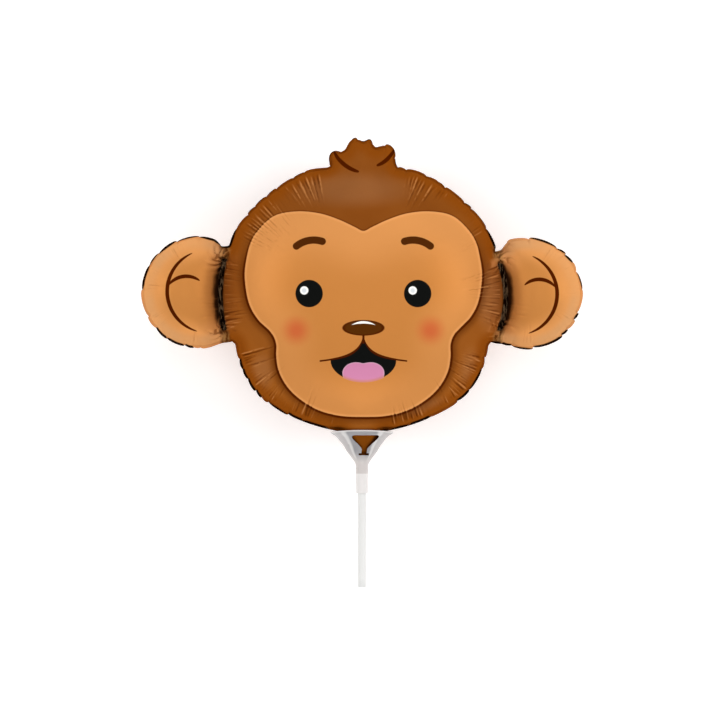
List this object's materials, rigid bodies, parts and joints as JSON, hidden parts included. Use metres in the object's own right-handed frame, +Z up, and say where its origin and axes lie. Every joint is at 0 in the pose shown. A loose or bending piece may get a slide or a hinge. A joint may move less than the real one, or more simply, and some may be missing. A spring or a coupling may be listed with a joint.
{
  "type": "monkey head foil balloon",
  "caption": "Inflated foil balloon shaped as a smiling monkey head with round ears, on a translucent plastic cup and a hollow stick.",
  "frame": {"origin": "centre of the small flat on the back of the head that the balloon rests on", "axes": "+Z up and out of the face, +Y from the stick towards the top of the head, +X towards the ear on the viewer's right"},
  "size_m": [0.2999, 0.306, 0.1112],
  "materials": {
    "printed_foil": "printed plastic foil with a satin sheen",
    "clear_plastic": "thin frosted translucent plastic",
    "white_plastic": "smooth milky extruded plastic"
  },
  "bodies": {
    "root": {"balloon_envelope": "printed_foil", "balloon_cup": "clear_plastic", "balloon_stick": "white_plastic"}
  },
  "joints": []
}
